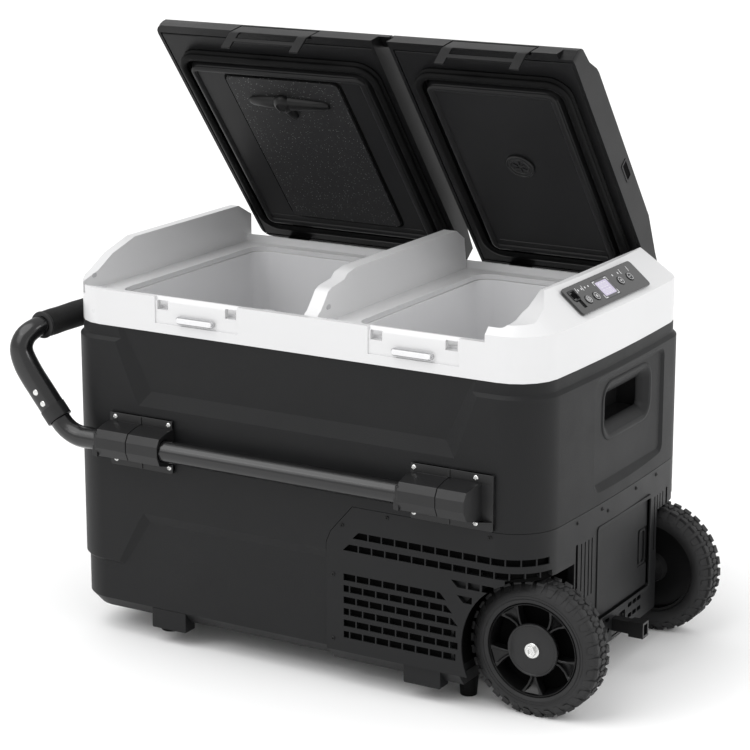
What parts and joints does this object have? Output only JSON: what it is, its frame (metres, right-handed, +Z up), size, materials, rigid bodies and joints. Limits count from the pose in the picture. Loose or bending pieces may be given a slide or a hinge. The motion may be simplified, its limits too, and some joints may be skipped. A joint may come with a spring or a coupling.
{
  "type": "compressor cooler fridge",
  "caption": "Wheeled compressor cooler fridge with two insulated compartments, two hinged lids, a pull-out handle and a control panel.",
  "frame": {"origin": "on the floor, in the middle of the footprint", "axes": "+Z up, +X towards the wheels, -Y towards the front with the lid latches; the pull handle is at -X"},
  "size_m": [0.7473, 0.4694, 0.7126],
  "materials": {
    "charcoal_plastic": "fine textured moulding",
    "white_plastic": "satin white moulding",
    "lid_plastic": "satin black moulding",
    "black_plastic": "satin black moulding",
    "rubber": "matte moulded rubber",
    "grip_foam": "soft foam grip",
    "insulation_foam": "rigid polyurethane foam",
    "painted_steel": "satin black paint",
    "bright_steel": "bright zinc plate",
    "copper": "drawn copper tube",
    "circuit_board": "green solder mask",
    "display_glass": "dark clear window"
  },
  "bodies": {
    "cabinet": {"main_shell": "charcoal_plastic", "base_tray": "charcoal_plastic", "vent_cover": "charcoal_plastic", "top_collar": "white_plastic", "liner_left": "white_plastic", "liner_right": "white_plastic", "insulation": "insulation_foam", "carry_pocket": "black_plastic", "compressor": "painted_steel", "condenser": "copper", "fan_frame": "black_plastic", "control_board": "circuit_board", "battery_pack": "black_plastic", "power_inlet": "black_plastic", "display_panel": "black_plastic", "display_glass": "display_glass", "axle": "bright_steel", "axle_bolt_front": "bright_steel", "axle_bolt_back": "bright_steel", "foot_front_left": "rubber", "foot_back_left": "rubber", "foot_front_right": "rubber", "foot_back_right": "rubber", "tilt_bumper": "black_plastic", "hinge_rod_left": "bright_steel", "hinge_rod_right": "bright_steel", "bracket_front_left_outer": "black_plastic", "bracket_front_left_inner": "black_plastic", "bracket_front_right_inner": "black_plastic", "bracket_front_right_outer": "black_plastic", "bracket_back_left_outer": "black_plastic", "bracket_back_left_inner": "black_plastic", "bracket_back_right_inner": "black_plastic", "bracket_back_right_outer": "black_plastic"},
    "fan": {"fan_rotor": "black_plastic"},
    "door": {"battery_door": "charcoal_plastic"},
    "lid_left": {"lid_left_shell": "lid_plastic", "lid_left_panel": "lid_plastic", "lid_left_gasket": "rubber", "tray_cover": "lid_plastic"},
    "lid_right": {"lid_right_shell": "lid_plastic", "lid_right_panel": "lid_plastic", "lid_right_gasket": "rubber", "lid_vent_plug": "black_plastic"},
    "latch_left": {"latch_left": "lid_plastic"},
    "latch_right": {"latch_right": "lid_plastic"},
    "tray_knob": {"tray_knob": "black_plastic"},
    "wheel_front": {"tyre_front": "rubber", "rim_front": "black_plastic"},
    "wheel_back": {"tyre_back": "rubber", "rim_back": "black_plastic"},
    "handle": {"rail_front": "painted_steel", "rail_back": "painted_steel", "handle_bow": "painted_steel", "handle_grip": "grip_foam"},
    "button_power": {"button_power": "black_plastic"},
    "button_set": {"button_set": "black_plastic"},
    "button_plus": {"button_plus": "black_plastic"},
    "button_minus": {"button_minus": "black_plastic"}
  },
  "joints": [
    {"name": "lid_left_hinge", "type": "hinge", "parent": "cabinet", "child": "lid_left", "pos_m": [-0.14, 0.1823, 0.3989], "axis": [-1, 0, 0], "range_deg": [-51.5, 42]},
    {"name": "lid_right_hinge", "type": "hinge", "parent": "cabinet", "child": "lid_right", "pos_m": [0.146, 0.1823, 0.3989], "axis": [-1, 0, 0], "range_deg": [-51.5, 42]},
    {"name": "latch_left_pivot", "type": "hinge", "parent": "lid_left", "child": "latch_left", "pos_m": [-0.1245, -0.01474, 0.71022], "axis": [-1, 0, 0], "range_deg": [0, 35], "stiffness_Nm_per_rad": 0.5, "springref_deg": -5.73},
    {"name": "latch_right_pivot", "type": "hinge", "parent": "lid_right", "child": "latch_right", "pos_m": [0.158, -0.01474, 0.71022], "axis": [-1, 0, 0], "range_deg": [0, 35], "stiffness_Nm_per_rad": 0.5, "springref_deg": -5.73},
    {"name": "tray_knob_turn", "type": "hinge", "parent": "lid_left", "child": "tray_knob", "pos_m": [-0.139, 0.01335, 0.61628], "axis": [0, 0.7826, 0.6225], "range_deg": [0, 90]},
    {"name": "handle_slide", "type": "slide", "parent": "cabinet", "child": "handle", "axis": [-1, 0, 0], "range_m": [0, 0.28]},
    {"name": "wheel_front_spin", "type": "hinge", "parent": "cabinet", "child": "wheel_front", "pos_m": [0.2959, -0.155, 0.0777], "axis": [0, 1, 0], "continuous": true},
    {"name": "wheel_back_spin", "type": "hinge", "parent": "cabinet", "child": "wheel_back", "pos_m": [0.2959, 0.155, 0.0777], "axis": [0, 1, 0], "continuous": true},
    {"name": "fan_spin", "type": "hinge", "parent": "cabinet", "child": "fan", "pos_m": [0.137, -0.148, 0.106], "axis": [0, 1, 0], "continuous": true},
    {"name": "battery_door_hinge", "type": "hinge", "parent": "cabinet", "child": "door", "pos_m": [0.3142, -0.0475, 0.13], "axis": [0, 0, -1], "range_deg": [0, 100]},
    {"name": "button_power_press", "type": "slide", "parent": "cabinet", "child": "button_power", "axis": [-0.6421, 0, -0.7666], "range_m": [0, 0.001], "stiffness_N_per_m": 400, "springref_m": -0.0005},
    {"name": "button_set_press", "type": "slide", "parent": "cabinet", "child": "button_set", "axis": [-0.6421, 0, -0.7666], "range_m": [0, 0.001], "stiffness_N_per_m": 400, "springref_m": -0.0005},
    {"name": "button_plus_press", "type": "slide", "parent": "cabinet", "child": "button_plus", "axis": [-0.6421, 0, -0.7666], "range_m": [0, 0.001], "stiffness_N_per_m": 400, "springref_m": -0.0005},
    {"name": "button_minus_press", "type": "slide", "parent": "cabinet", "child": "button_minus", "axis": [-0.6421, 0, -0.7666], "range_m": [0, 0.001], "stiffness_N_per_m": 400, "springref_m": -0.0005}
  ]
}
